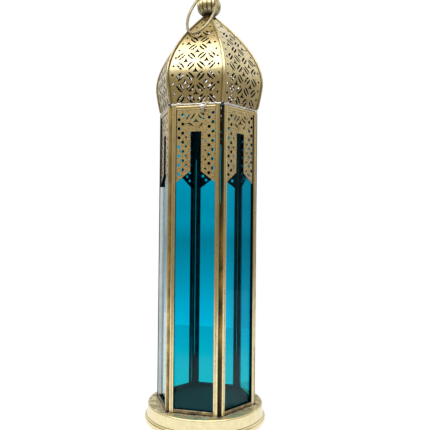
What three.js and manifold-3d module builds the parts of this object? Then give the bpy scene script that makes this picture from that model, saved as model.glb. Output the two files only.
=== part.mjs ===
// A tall six-sided lantern in pierced brass and blue glass, for standing or hanging.
// Millimetres, +Z up. The origin lies under the middle of the base, and the door faces -Y.
import * as THREE from "three";
import { mergeVertices } from "three/addons/utils/BufferGeometryUtils.js";
import Module from "manifold-3d";

const wasm = await Module();
wasm.setup();

// Clearances between neighbouring pieces
const solderGap = 0.3; // soldered or stacked pieces
const glazingGap = 0.2; // round the glass and the fret inside a frame
const pinGap = 0.3; // round a pin in its drilled hole
const cutterReach = 1; // a cutter's end past the piece that it cuts

// Base: a rolled foot ring under a shallow spun drum
const baseHeight = 18;
const drumMargin = 5.3; // from a corner of the body to the drum's edge
const drumTaper = 0.9; // how far the drum spreads towards its foot
const drumWall = 1.2;
const drumShoulder = 1.4; // radius of the drum's upper edge
const footHeight = 7;
const footOverhang = 3; // how far the foot ring stands out past the drum's edge
const footRingWidth = 7.5;
const footSole = 3.4; // radius of the foot ring's lower edge
const footCrown = 0.9; // how far the foot ring's side leans in over its upper part
const footCrownHeight = 2.66;
const turnedSides = 36;

// Body: six glazed frames of folded channel, the front one a door
const panelCount = 6;
const bodySide = 52;
const frameHeight = 287.4;
const frameDepth = 4.6;
const stileFace = 4.2;
const railFace = 3.4;
const beadRise = 0.5; // crown of the rounded face above its edges
const flangeThickness = 1;
const channelWeb = 0.6;
const backLip = 0.4;
const backLipWidth = 3.4;
const glassThickness = 1.2;
const glazingBite = 1.5; // how far glass and fret reach into the channel

// Fret: a pierced sheet with a lancet slot, behind the upper part of each frame
const fretThickness = 0.5;
const fretSlotWidth = 10.4;
const fretSlotTop = 20.7; // from the rail down to the top of the slot
const fretLegLength = 57.9; // from the rail down to where the slot splays
const fretSplayDrop = 10.5;
const dotRadius = 1.15;
const dotPitch = 8.6;
const dotEdge = 3.2; // from the lowest dot of a column to the edge under it, at least
const dotColumns = [16.4, 12.8]; // from the middle of the panel
const dotStart = [[9.2, 4.9], [3.6, 7.9]]; // first dot under the rail, left and right columns
const dotSides = 4;
const sprigHeight = 10.6; // middle of the sprig over the slot, under the rail
const sprigStar = [[0, 3.2], [0.7, -0.1], [2.7, -1.6]]; // right half, across and up from its middle
const sprigLeaves = [
  [[2.2, 6], [3.8, 2.9], [5.4, 1.2]],
  [[5, 6.2], [7.2, 2.6], [9.6, 1.3]],
  [[3.2, -5.4], [5.6, -3.2], [8.8, -2.6]],
];

// Dome: six pierced gores on a collar, with a wire over each seam
const collarHeight = 2.4;
const collarWidth = 4.7;
const eaveInset = 0.5; // of the rib feet inside the corners of the body
const bellySwell = 4.5;
const bellyHeight = 25;
const domeHeight = 93.8;
const crownRadius = 8.8;
const eaveHandle = 6;
const bellyHandle = 27.4;
const crownHandle = 20;
const crownLean = 48; // degrees, of the upper cone
const goreThickness = 0.8;
const ribRadius = 1.3;
const ribProud = 1; // of the gores
const ribFootLift = 0.4; // so that the sloping foot of a rib stays over the collar
const ribSteps = 10;
const ribSides = 5;

// Lattice of the gores: a diamond net of paired slits with a star in every mesh
const netHalfWidth = 10;
const netHalfHeight = 10.35;
const netFirstRow = 8.7;
const netMargin = 5.6; // plain metal beside each seam
const netTopMargin = 5;
const slitLength = 6.6;
const slitInner = 0.6; // from the net line to the slit
const slitOuter = 2;
const starHeight = 3.8;
const starWidth = 4.2;
const starDrop = 1.6;
const bandDrop = 2; // fold lines of a gore under the rows of the net

// Finial: a fluted knob on an eye bolt
const capRadius = 8.2;
const capThickness = 1.6;
const capBevel = 1.2;
const capSides = 24;
const knobRadius = 12.2;
const knobHeight = 21.4;
const knobFlutes = 14;
const fluteDepth = 1.3;
const knobRings = 8;
const boltRadius = 1.6;
const nutRadius = 3.6;
const nutHeight = 2.6;
const boltEnd = 1; // of the bolt, past its nut
const eyeRadius = 3.6;
const eyeWire = 1.3;
const eyeTurn = -10; // degrees, round the bolt

// Hanging ring: a long flat loop of wire
const ringLength = 62;
const ringWidth = 28;
const ringWire = 1.35;
const ringSteps = 26;
const ringSides = 6;

// Door: pivot pins in the hinge stile, and a turn button on the top rail
const pinRadius = 0.8;
const pinDepth = 2.1; // behind the face of the door
const pinInset = 1.6; // from the edge of the door
const pinReach = 7; // into the door
const buttonOffset = 6.5; // from the middle of the door
const buttonHead = 2.5;
const buttonTip = 1.3;
const buttonLength = 4.2;
const buttonThickness = 0.8;
const buttonStandoff = 0.3; // from the door, and under the rivet's head
const rivetHeadRadius = 1.6;
const rivetHeadHeight = 0.7;
const rivetFaceRadius = 1.1; // of the flatter middle of the head
const rivetFaceHeight = 0.2;
const roundSides = 10;

const halfAngle = Math.PI / panelCount;
const apothem = bodySide / 2 / Math.tan(halfAngle);
const bodyCorner = bodySide / 2 / Math.sin(halfAngle);
const frameHalf = bodySide / 2 - frameDepth * Math.tan(halfAngle) - solderGap / 2 / Math.cos(halfAngle);
const frameFoot = baseHeight + solderGap;
const frameTop = frameFoot + frameHeight;
const collarFoot = frameTop + solderGap;
const collarTop = collarFoot + collarHeight;
const domeFoot = collarTop + solderGap;
const domeTop = domeFoot + domeHeight;
const panelAngle = (index) => index * 2 * halfAngle;

const brass = new THREE.MeshStandardMaterial({ color: 0xa3925a, roughness: 0.38, metalness: 1 });
const paleBrass = new THREE.MeshStandardMaterial({ color: 0xd9c98e, roughness: 0.25, metalness: 1 });
const agedBrass = new THREE.MeshStandardMaterial({ color: 0x8f8358, roughness: 0.45, metalness: 1 });
const tinned = new THREE.MeshStandardMaterial({ color: 0xb9b7ad, roughness: 0.4, metalness: 1 });
const steel = new THREE.MeshStandardMaterial({ color: 0x8c8c88, roughness: 0.4, metalness: 1 });
const blueGlass = new THREE.MeshStandardMaterial({
  color: 0x12b4d2,
  roughness: 0.05,
  metalness: 0,
  transparent: true,
  opacity: 0.55,
});

const lantern = new THREE.Group();

function addPiece(name, geometry, material, parent = lantern) {
  const mesh = new THREE.Mesh(geometry, material.clone());
  mesh.name = name;
  parent.add(mesh);
  return mesh;
}

// Solids for joining and cutting
function toSolid(geometry) {
  const bare = geometry.clone();
  bare.deleteAttribute("normal");
  bare.deleteAttribute("uv");
  const merged = mergeVertices(bare, 1e-4);
  return new wasm.Manifold(
    new wasm.Mesh({
      numProp: 3,
      vertProperties: new Float32Array(merged.attributes.position.array),
      triVerts: new Uint32Array(merged.index.array),
    })
  );
}

function toGeometry(solid) {
  const mesh = solid.getMesh();
  const geometry = new THREE.BufferGeometry();
  geometry.setAttribute("position", new THREE.BufferAttribute(mesh.vertProperties, 3));
  geometry.setIndex(new THREE.BufferAttribute(mesh.triVerts, 1));
  geometry.computeVertexNormals();
  return geometry;
}

// An outline pushed along a third direction: across, up and push are unit vectors, right-handed
function pushed(shape, length, across, up, start) {
  const geometry = new THREE.ExtrudeGeometry(shape, {
    depth: length,
    bevelEnabled: false,
    curveSegments: 6,
  });
  const push = new THREE.Vector3().crossVectors(across, up);
  const place = new THREE.Matrix4().makeBasis(across, up, push).setPosition(start);
  return geometry.applyMatrix4(place);
}

function polygon(points) {
  return new THREE.Shape(points.map(([x, y]) => new THREE.Vector2(x, y)));
}

function regularPolygon(sides, radius, x = 0, y = 0) {
  const points = [];
  for (let i = 0; i < sides; i++) {
    const turn = ((i + 0.5) * 2 * Math.PI) / sides;
    points.push([x + radius * Math.sin(turn), y - radius * Math.cos(turn)]);
  }
  return points;
}

function rod(radius, foot, top, x = 0, y = 0) {
  const geometry = new THREE.CylinderGeometry(radius, radius, top - foot, roundSides);
  return geometry.rotateX(Math.PI / 2).translate(x, y, (foot + top) / 2);
}

function drilled(radius, foot, top, x = 0, y = 0) {
  return rod(radius, foot - cutterReach, top + cutterReach, x, y);
}

function turned(profile, sides = turnedSides) {
  const points = profile.map(([r, z]) => new THREE.Vector2(r, z));
  return new THREE.LatheGeometry(points, sides).rotateX(Math.PI / 2);
}

const X = new THREE.Vector3(1, 0, 0);
const Y = new THREE.Vector3(0, 1, 0);
const Z = new THREE.Vector3(0, 0, 1);

// Base
const drumRadius = bodyCorner + drumMargin;
const drumFootRadius = drumRadius + drumTaper;
const drumFoot = footHeight + solderGap;
const footRadius = drumRadius + footOverhang;
const shoulderSide = drumShoulder * Math.cos(Math.PI / 4);

function baseDrum() {
  const shell = turned([
    [0, baseHeight],
    [drumRadius - drumShoulder, baseHeight],
    [drumRadius - drumShoulder + shoulderSide, baseHeight - drumShoulder + shoulderSide],
    [drumRadius, baseHeight - drumShoulder],
    [drumFootRadius, drumFoot],
    [drumFootRadius - drumWall, drumFoot],
    [drumRadius - drumWall, baseHeight - drumWall],
    [0, baseHeight - drumWall],
  ].reverse());
  const pinHole = drilled(pinRadius + pinGap, baseHeight - drumWall, baseHeight, pinX, pinY);
  return toGeometry(toSolid(shell).subtract(toSolid(pinHole)));
}

function footRing() {
  const inner = footRadius - footRingWidth;
  const soleSide = footSole * Math.cos(Math.PI / 4);
  return turned([
    [inner, 0],
    [footRadius - footSole, 0],
    [footRadius - footSole + soleSide, footSole - soleSide],
    [footRadius, footSole],
    [footRadius, footHeight - footCrownHeight],
    [footRadius - footCrown, footHeight],
    [inner, footHeight],
    [inner, 0],
  ]);
}

// Door pivot: both pins stand on one upright line inside the hinge stile
const pinX = -frameHalf + pinInset;
const pinY = -apothem + pinDepth;

addPiece("base_foot_ring", footRing(), paleBrass);
addPiece("base_drum", baseDrum(), paleBrass);

// One bar of folded channel, from its outer edge inwards: a bead in front, a lip behind
function channelSection(face) {
  const bead = [0, 0.25, 0.75, 1].map((share) => {
    const fromMiddle = 2 * share - 1;
    return [share * face, beadRise * fromMiddle * fromMiddle];
  });
  return polygon([
    ...bead,
    [face, flangeThickness],
    [channelWeb, flangeThickness],
    [channelWeb, frameDepth - backLip],
    [backLipWidth, frameDepth - backLip],
    [backLipWidth, frameDepth],
    [0, frameDepth],
  ]);
}

const down = Z.clone().negate();
const left = X.clone().negate();

function channelFrame() {
  const stile = channelSection(stileFace);
  const rail = channelSection(railFace);
  const width = 2 * frameHalf;
  const foot = new THREE.Vector3(-frameHalf, 0, 0);
  const bars = [
    pushed(stile, frameHeight, X, Y, foot),
    pushed(stile, frameHeight, left, Y, new THREE.Vector3(frameHalf, 0, frameHeight)),
    pushed(rail, width, Z, Y, new THREE.Vector3(frameHalf, 0, 0)),
    pushed(rail, width, down, Y, new THREE.Vector3(-frameHalf, 0, frameHeight)),
  ];
  const solid = bars.map(toSolid).reduce((frame, bar) => frame.add(bar));
  return solid.translate([0, -apothem, frameFoot]);
}

const pocketHalf = frameHalf - stileFace + glazingBite;
const pocketFoot = frameFoot + railFace - glazingBite;
const pocketTop = frameTop - railFace + glazingBite;
const fretFace = flangeThickness + glazingGap;
const glassFace = frameDepth - backLip - glazingGap - glassThickness;

function pane() {
  const height = pocketTop - pocketFoot;
  const middle = -apothem + glassFace + glassThickness / 2;
  const geometry = new THREE.BoxGeometry(2 * pocketHalf, glassThickness, height);
  return geometry.translate(0, middle, pocketFoot + height / 2);
}

// Holes of the fret: two staggered columns of dots each side, and a sprig over the slot
const railUnder = frameTop - railFace;

const slotHalf = fretSlotWidth / 2;
const splayTop = railUnder - fretLegLength;
const splaySlope = fretSplayDrop / (frameHalf - stileFace - slotHalf);
const splayAt = (x) => splayTop - splaySlope * (x - slotHalf);

function fretHoles() {
  const holes = [];
  dotColumns.forEach((column, index) => {
    [-1, 1].forEach((side, sideIndex) => {
      const highest = railUnder - dotStart[sideIndex][index];
      for (let height = highest; height > splayAt(column) + dotEdge; height -= dotPitch) {
        holes.push(regularPolygon(dotSides, dotRadius, side * column, height));
      }
    });
  });
  const sprigPoint = (side) => ([x, z]) => [side * x, railUnder - sprigHeight + z];
  const [, ...starLeft] = sprigStar.map(sprigPoint(-1));
  holes.push([...sprigStar.map(sprigPoint(1)), ...starLeft.reverse()]);
  for (const side of [-1, 1]) {
    for (const leaf of sprigLeaves) holes.push(leaf.map(sprigPoint(side)));
  }
  return holes;
}

function fret() {
  const toe = splayAt(pocketHalf);
  const sheet = polygon([
    [-pocketHalf, pocketTop],
    [-pocketHalf, toe],
    [-slotHalf, splayTop],
    [-slotHalf, railUnder - fretSlotTop],
    [slotHalf, railUnder - fretSlotTop],
    [slotHalf, splayTop],
    [pocketHalf, toe],
    [pocketHalf, pocketTop],
  ]);
  sheet.holes = fretHoles().map((points) => polygon(points));
  return pushed(sheet, fretThickness, X, Z, new THREE.Vector3(0, -apothem + fretFace + fretThickness, 0));
}

const frameSolid = channelFrame();
const frameGeometry = toGeometry(frameSolid);
const paneGeometry = pane();
const fretGeometry = fret();
const panelNames = ["", "right_front", "right_rear", "rear", "left_rear", "left_front"];

for (let index = 1; index < panelCount; index++) {
  const panel = new THREE.Group();
  panel.rotation.z = panelAngle(index);
  lantern.add(panel);
  addPiece(`frame_${panelNames[index]}`, frameGeometry.clone(), brass, panel);
  addPiece(`glass_${panelNames[index]}`, paneGeometry.clone(), blueGlass, panel);
  addPiece(`fret_${panelNames[index]}`, fretGeometry.clone(), brass, panel);
}

// Door: the same frame, drilled for its pivot pins and for the rivet of the turn button
const rivetHeight = frameTop - railFace / 2;
const rivetStart = -apothem - 2 * buttonStandoff - buttonThickness - rivetHeadHeight;

function doorFrame() {
  const pinHole = drilled(pinRadius + pinGap, frameFoot, frameTop, pinX, pinY);
  const rivetHole = rod(pinRadius + pinGap, -frameDepth / 2, frameDepth / 2).rotateX(Math.PI / 2);
  rivetHole.translate(buttonOffset, -apothem - beadRise, rivetHeight);
  return toGeometry(frameSolid.subtract(toSolid(pinHole)).subtract(toSolid(rivetHole)));
}

function turnButton() {
  const spread = Math.acos((buttonHead - buttonTip) / buttonLength);
  const outline = new THREE.Shape();
  outline.absarc(0, 0, buttonHead, -Math.PI / 2 + spread, (3 * Math.PI) / 2 - spread, false);
  outline.absarc(0, -buttonLength, buttonTip, -Math.PI / 2 - spread, -Math.PI / 2 + spread, false);
  outline.holes.push(polygon(regularPolygon(roundSides, pinRadius + pinGap)));
  const back = new THREE.Vector3(buttonOffset, -apothem - buttonStandoff, rivetHeight);
  return pushed(outline, buttonThickness, X, Z, back);
}

function rivet() {
  const head = rivetHeadHeight;
  const tail = flangeThickness - (rivetStart + apothem);
  const profile = [
    [0, 0],
    [rivetFaceRadius, rivetFaceHeight],
    [rivetHeadRadius, head],
    [pinRadius, head],
    [pinRadius, tail],
    [0, tail],
  ];
  const geometry = turned(profile, roundSides).rotateX(-Math.PI / 2);
  return geometry.translate(buttonOffset, rivetStart, rivetHeight);
}

addPiece("door_frame", doorFrame(), brass);
addPiece("door_glass", paneGeometry.clone(), blueGlass);
addPiece("door_fret", fretGeometry.clone(), brass);
addPiece("turn_button", turnButton(), tinned);
addPiece("turn_button_rivet", rivet(), tinned);
const lowerPin = rod(pinRadius, baseHeight - drumWall, frameFoot + pinReach, pinX, pinY);
const upperPin = rod(pinRadius, frameTop - pinReach, collarTop, pinX, pinY);
addPiece("door_pin_lower", lowerPin, steel);
addPiece("door_pin_upper", upperPin, steel);

// Dome profile: corner radius against height over the dome's foot, less an inset
const eaveRadius = bodyCorner - eaveInset;
const bellyRadius = eaveRadius + bellySwell;
const crownTurn = THREE.MathUtils.degToRad(crownLean);

function domeProfile(inset, scale) {
  const at = (radius, height) => new THREE.Vector2((radius - inset) * scale, domeFoot + height);
  const profile = new THREE.CurvePath();
  const belly = at(bellyRadius, bellyHeight);
  profile.add(
    new THREE.QuadraticBezierCurve(at(eaveRadius, 0), at(bellyRadius, bellyHeight - eaveHandle), belly)
  );
  profile.add(
    new THREE.CubicBezierCurve(
      belly,
      at(bellyRadius, bellyHeight + bellyHandle),
      at(crownRadius + crownHandle * Math.sin(crownTurn), domeHeight - crownHandle * Math.cos(crownTurn)),
      at(crownRadius, domeHeight)
    )
  );
  return profile;
}

// Collar: a six-sided ring over the frames, drilled for the upper pin
function hexagon(flat) {
  return regularPolygon(panelCount, flat / Math.cos(halfAngle));
}

const goreProfile = domeProfile(ribProud, Math.cos(halfAngle));
const collarFlat = goreProfile.getPoint(0).x;

function collar() {
  const outline = polygon(hexagon(collarFlat));
  outline.holes.push(polygon(hexagon(collarFlat - collarWidth)));
  const ring = pushed(outline, collarHeight, X, Y, new THREE.Vector3(0, 0, collarFoot));
  const pinHole = drilled(pinRadius + pinGap, collarFoot, collarTop, pinX, pinY);
  return toGeometry(toSolid(ring).subtract(toSolid(pinHole)));
}

addPiece("collar", collar(), tinned);

// Gore: a sheet folded along the dome's curve, trimmed to a sixth of the dome, then pierced
const goreLength = goreProfile.getLength();
const rowAt = (row) => netFirstRow + row * netHalfHeight;
const rowCount = Math.floor((goreLength - netFirstRow) / netHalfHeight) + 1;
const foldLines = [0];
for (let row = 0; row < rowCount; row++) foldLines.push(rowAt(row) - bandDrop);
if (goreLength - foldLines.at(-1) > 1) foldLines.push(goreLength);

const folds = foldLines.map((along) => goreProfile.getPointAt(along / goreLength));
const halfSideAt = (along) => goreProfile.getPointAt(Math.min(along / goreLength, 1)).x * Math.tan(halfAngle);

function foldNormals(points) {
  return points.map((point, index) => {
    const before = points[Math.max(index - 1, 0)];
    const after = points[Math.min(index + 1, points.length - 1)];
    const run = after.clone().sub(before).normalize();
    return new THREE.Vector2(run.y, -run.x);
  });
}

function foldedSheet() {
  const normals = foldNormals(folds);
  const inner = folds.map((point, index) => point.clone().addScaledVector(normals[index], -goreThickness));
  const outline = [...folds, ...inner.reverse()].map((point) => [point.x, point.y]);
  const reach = 1.2 * bellyRadius;
  const outwards = Y.clone().negate();
  return pushed(polygon(outline), reach, outwards, Z, new THREE.Vector3(reach / 2, 0, 0));
}

function sixthOfDome() {
  const seam = ribRadius + solderGap;
  const far = 2 * bellyRadius;
  const halfFar = far * Math.tan(halfAngle) - seam / Math.cos(halfAngle);
  const apex = seam / Math.sin(halfAngle);
  const wedge = polygon([[0, -apex], [-halfFar, -far], [halfFar, -far]]);
  return pushed(wedge, domeTop, X, Y, new THREE.Vector3(0, 0, domeFoot / 2));
}

// Outlines of the holes whose net lines start in one row, as points across and along the gore
function netHoles(row) {
  const holes = [];
  const along = rowAt(row);
  const columns = Math.ceil(bellyRadius / netHalfWidth / 2);
  const slope = new THREE.Vector2(netHalfWidth, netHalfHeight).normalize();
  for (let column = -columns; column <= columns; column++) {
    const x = column * netHalfWidth;
    const isKnot = (column + row) % 2 !== 0;
    if (!isKnot) {
      holes.push([
        [x - starWidth / 2, along - starDrop],
        [x + starWidth / 2, along - starDrop],
        [x, along - starDrop + starHeight],
      ]);
      continue;
    }
    for (const side of [-1, 1]) {
      const middle = [x + (side * netHalfWidth) / 2, along + netHalfHeight / 2];
      for (const flank of [-1, 1]) {
        const corner = (run, off) => [
          middle[0] + side * slope.x * run - flank * slope.y * off * side,
          middle[1] + slope.y * run + flank * slope.x * off,
        ];
        holes.push([
          corner(-slitLength / 2, slitInner),
          corner(slitLength / 2, slitInner),
          corner(0, slitOuter),
        ]);
      }
    }
  }
  const inNet = ([x, s]) => Math.abs(x) < halfSideAt(s) - netMargin && s < goreLength - netTopMargin;
  return holes.filter((points) => points.every(inNet));
}

function pierce(gore, row) {
  const holes = netHoles(row);
  if (holes.length === 0) return gore;
  const low = folds[row + 1];
  const high = folds[row + 2] ?? folds.at(-1);
  const run = high.clone().sub(low).normalize();
  const up = new THREE.Vector3(0, -run.x, run.y);
  const outwards = new THREE.Vector3().crossVectors(X, up);
  const start = new THREE.Vector3(0, -low.x, low.y).addScaledVector(outwards, -2 * goreThickness);
  const shapes = holes.map((points) => polygon(points.map(([x, s]) => [x, s - foldLines[row + 1]])));
  const punches = pushed(shapes, 4 * goreThickness, X, up, start);
  return gore.subtract(toSolid(punches));
}

let goreSolid = toSolid(foldedSheet()).intersect(toSolid(sixthOfDome()));
for (let row = 0; row < rowCount; row++) goreSolid = pierce(goreSolid, row);
const goreGeometry = toGeometry(goreSolid);
const sideNames = ["front", "right_front", "right_rear", "rear", "left_rear", "left_front"];

for (let index = 0; index < panelCount; index++) {
  addPiece(`dome_gore_${sideNames[index]}`, goreGeometry.clone(), brass).rotation.z = panelAngle(index);
}

// Ribs: round wires bent to the corner profile of the dome
const ribProfile = domeProfile(ribRadius, 1);
const ribTopDrop = ribRadius * Math.cos(crownTurn);

class RibCurve extends THREE.Curve {
  getPoint(share) {
    const start = ribFootLift / ribProfile.getLength();
    const end = 1 - ribTopDrop / ribProfile.getLength();
    const point = ribProfile.getPointAt(start + share * (end - start));
    return new THREE.Vector3(0, -point.x, point.y);
  }
}

function rib() {
  const section = polygon(regularPolygon(ribSides, ribRadius));
  return new THREE.ExtrudeGeometry(section, {
    steps: ribSteps,
    bevelEnabled: false,
    extrudePath: new RibCurve(),
  });
}

const cornerNames = ["front_right", "right", "rear_right", "rear_left", "left", "front_left"];
const ribGeometry = rib();
for (let index = 0; index < panelCount; index++) {
  const wire = addPiece(`dome_rib_${cornerNames[index]}`, ribGeometry.clone(), brass);
  wire.rotation.z = panelAngle(index) + halfAngle;
}

// Finial: cap, fluted knob, eye bolt through both, and its nut inside the dome
const capFoot = domeTop + solderGap;
const capTop = capFoot + capThickness;
const nutFoot = capFoot - solderGap - nutHeight;
const knobFoot = capTop + solderGap;
const knobTop = knobFoot + knobHeight;
const knobMiddle = (knobFoot + knobTop) / 2;
const boltHole = toSolid(drilled(boltRadius + pinGap, capFoot, knobTop));
const eyeMiddle = knobTop + solderGap + eyeWire + eyeRadius;

function domeCap() {
  const profile = [[0, capFoot], [capRadius, capFoot], [capRadius - capBevel, capTop], [0, capTop]];
  const cap = turned(profile, capSides);
  return toGeometry(toSolid(cap).subtract(boltHole));
}

function flutedKnob() {
  const profile = [];
  for (let ring = 0; ring <= knobRings; ring++) {
    const turn = (ring / knobRings) * Math.PI;
    profile.push([knobRadius * Math.sin(turn), knobMiddle - (knobHeight / 2) * Math.cos(turn)]);
  }
  profile[0][0] = 0;
  profile[knobRings][0] = 0;
  const knob = turned(profile, 2 * knobFlutes);
  const place = knob.attributes.position;
  for (let i = 0; i < place.count; i++) {
    const x = place.getX(i);
    const y = place.getY(i);
    const radius = Math.hypot(x, y);
    if (radius < 0.01) continue;
    const isValley = Math.cos(knobFlutes * Math.atan2(y, x)) < 0;
    const pull = isValley ? 1 - fluteDepth / knobRadius : 1;
    place.setXY(i, x * pull, y * pull);
  }
  return toGeometry(toSolid(knob).subtract(boltHole));
}

function eyeBolt() {
  const eye = new THREE.TorusGeometry(eyeRadius, eyeWire, ringSides, 16);
  eye.rotateY(Math.PI / 2).translate(0, 0, eyeMiddle);
  const shank = rod(boltRadius, nutFoot - boltEnd, eyeMiddle - eyeRadius);
  return toGeometry(toSolid(eye).add(toSolid(shank)));
}

function boltNut() {
  const outline = polygon(regularPolygon(6, nutRadius));
  outline.holes.push(polygon(regularPolygon(roundSides, boltRadius + pinGap)));
  return pushed(outline, nutHeight, X, Y, new THREE.Vector3(0, 0, nutFoot));
}

const finial = new THREE.Group();
finial.rotation.z = THREE.MathUtils.degToRad(eyeTurn);
lantern.add(finial);
addPiece("dome_cap", domeCap(), brass, finial);
addPiece("finial_knob", flutedKnob(), agedBrass, finial);
addPiece("finial_eye_bolt", eyeBolt(), agedBrass, finial);
addPiece("finial_nut", boltNut(), agedBrass, finial);

// Ring: hangs down -Z from the eye before it is leant on the dome
function ringPoint(turn) {
  return new THREE.Vector3((ringWidth / 2) * Math.sin(turn), 0, (-ringLength / 2) * (1 - Math.cos(turn)));
}

function closedWire(pointAt, steps, sides, radius) {
  const positions = [];
  const triangles = [];
  for (let step = 0; step < steps; step++) {
    const turn = (step / steps) * 2 * Math.PI;
    const tangent = pointAt(turn + 0.01).sub(pointAt(turn - 0.01)).normalize();
    const side = new THREE.Vector3().crossVectors(tangent, Y).normalize();
    const front = new THREE.Vector3().crossVectors(side, tangent);
    for (let corner = 0; corner < sides; corner++) {
      const angle = (corner / sides) * 2 * Math.PI;
      const point = pointAt(turn);
      point.addScaledVector(side, radius * Math.cos(angle)).addScaledVector(front, radius * Math.sin(angle));
      positions.push(point.x, point.y, point.z);
      const next = ((step + 1) % steps) * sides;
      const here = step * sides;
      const beside = (corner + 1) % sides;
      triangles.push(here + corner, next + corner, next + beside);
      triangles.push(here + corner, next + beside, here + beside);
    }
  }
  const geometry = new THREE.BufferGeometry();
  geometry.setAttribute("position", new THREE.Float32BufferAttribute(positions, 3));
  geometry.setIndex(triangles);
  geometry.computeVertexNormals();
  return geometry;
}

// The ring's lean is the smallest at which its wire clears the knob, the ribs and the gores
const pivotHeight = eyeMiddle - (eyeRadius - eyeWire - ringWire) + solderGap;
const ribPoints = [];
for (let step = 0; step <= 40; step++) {
  const point = new RibCurve().getPoint(step / 40);
  for (let index = 0; index < panelCount; index++) {
    ribPoints.push(point.clone().applyAxisAngle(Z, panelAngle(index) + halfAngle));
  }
}

function goreClearance(point) {
  let nearest = Infinity;
  for (let step = 0; step < folds.length - 1; step++) {
    const low = folds[step];
    const high = folds[step + 1];
    if (point.z < low.y || point.z > high.y) continue;
    const run = high.clone().sub(low).normalize();
    const outside = [];
    for (let index = 0; index < panelCount; index++) {
      const angle = panelAngle(index);
      const radial = point.x * Math.sin(angle) - point.y * Math.cos(angle);
      outside.push((radial - low.x) * run.y - (point.z - low.y) * run.x);
    }
    nearest = Math.min(nearest, Math.max(...outside));
  }
  return nearest;
}

function ringClears(lean) {
  const need = ringWire + solderGap;
  for (let step = 0; step < 72; step++) {
    const point = ringPoint((step / 72) * 2 * Math.PI);
    point.applyAxisAngle(X, -lean);
    point.z += pivotHeight;
    point.applyAxisAngle(Z, finial.rotation.z);
    const besideKnob = Math.hypot(point.x, point.y) / (knobRadius + need);
    const overKnob = (point.z - knobMiddle) / (knobHeight / 2 + need);
    if (Math.hypot(besideKnob, overKnob) < 1) return false;
    if (goreClearance(point) < need) return false;
    if (ribPoints.some((place) => place.distanceTo(point) < ribRadius + need)) return false;
  }
  return true;
}

let ringLean = 0;
while (!ringClears(ringLean) && ringLean < Math.PI / 2) ringLean += 0.002;

const ringGeometry = closedWire(ringPoint, ringSteps, ringSides, ringWire);
const ring = addPiece("hanging_ring", ringGeometry, agedBrass, finial);
ring.position.z = pivotHeight;
ring.rotation.x = -ringLean;

export default lantern;
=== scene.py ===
from math import acos, atan2, cos, pi, radians, sin, tan

import bmesh
import bpy
from mathutils import Matrix, Vector


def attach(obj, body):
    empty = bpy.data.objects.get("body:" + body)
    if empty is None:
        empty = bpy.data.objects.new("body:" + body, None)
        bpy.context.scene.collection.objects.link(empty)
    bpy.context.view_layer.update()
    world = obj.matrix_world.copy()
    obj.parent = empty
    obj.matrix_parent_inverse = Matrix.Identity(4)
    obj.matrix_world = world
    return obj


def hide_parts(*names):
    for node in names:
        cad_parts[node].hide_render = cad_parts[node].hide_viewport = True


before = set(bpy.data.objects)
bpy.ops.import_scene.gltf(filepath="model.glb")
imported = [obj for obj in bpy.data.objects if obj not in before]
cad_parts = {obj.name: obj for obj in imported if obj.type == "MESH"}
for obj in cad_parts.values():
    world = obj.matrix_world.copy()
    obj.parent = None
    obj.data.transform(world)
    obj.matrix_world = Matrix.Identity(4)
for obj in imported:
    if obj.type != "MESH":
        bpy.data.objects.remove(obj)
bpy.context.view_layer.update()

MM = 0.001

# The set: a camera a little right of the door at mid height, one wide softbox overhead,
# and a sheet of white paper under the lantern that ends below the camera. The room behind
# is dim and warm, and the pale wall opposite is darker at eye height and on the left.
camera_turn = radians(14.74)
camera_reach = 540 * MM
camera_height = 198 * MM
camera_aside = radians(0.861)
camera_tilt = radians(0.644)
camera_roll = radians(0.56)
ahead = Vector((-sin(camera_turn), cos(camera_turn), 0))
aside = Vector((cos(camera_turn), sin(camera_turn), 0))
looking = (ahead + aside * tan(camera_aside) + Vector((0, 0, tan(camera_tilt)))).normalized()
level_x = looking.cross(Vector((0, 0, 1))).normalized()
level_y = level_x.cross(looking)
camera_x = level_x * cos(camera_roll) + level_y * sin(camera_roll)
camera_y = level_y * cos(camera_roll) - level_x * sin(camera_roll)
camera_axes = Matrix((camera_x, camera_y, -looking)).transposed().to_4x4()
camera_axes.translation = -ahead * camera_reach + Vector((0, 0, camera_height))


def add_object(name, data):
    """A new object in the scene."""
    made = bpy.data.objects.new(name, data)
    bpy.context.collection.objects.link(made)
    return made


lens = bpy.data.cameras.new("camera")
lens.lens = 44.66
lens.sensor_width = 36
lens.clip_start = 0.01
camera = add_object("camera", lens)
camera.matrix_world = camera_axes
bpy.context.scene.camera = camera
bpy.context.scene.view_settings.view_transform = "Standard"


def put(tree, kind, inputs=(), **settings):
    """A node with its inputs set or joined: a list in order, or a dictionary by name."""
    made = tree.nodes.new(kind)
    for name, value in settings.items():
        setattr(made, name, value)
    for key, value in inputs.items() if isinstance(inputs, dict) else enumerate(inputs):
        if isinstance(value, bpy.types.NodeSocket):
            tree.links.new(value, made.inputs[key])
        elif value is not None:
            made.inputs[key].default_value = value
    return made


def got(tree, kind, inputs=(), **settings):
    """A node's first result."""
    return put(tree, kind, inputs, **settings).outputs[0]


def tree_of(*values):
    """The tree of the first socket among these values."""
    return next(value.id_data for value in values if isinstance(value, bpy.types.NodeSocket))


def bare(owner):
    """The emptied node tree of a world or a finish."""
    owner.use_nodes = True
    owner.node_tree.nodes.clear()
    return owner.node_tree


def sums(operation, *values):
    """A Math node's result."""
    return got(tree_of(*values), "ShaderNodeMath", values, operation=operation)


def split(value):
    """The three parts of a vector."""
    return put(value.id_data, "ShaderNodeSeparateXYZ", [value]).outputs


def blend(share, first, second):
    """The first colour with this share of the second."""
    first, second = [(*tone, 1) if isinstance(tone, tuple) else tone for tone in (first, second)]
    return put(share.id_data, "ShaderNodeMix", {0: share, 6: first, 7: second}, data_type="RGBA").outputs[2]


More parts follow.
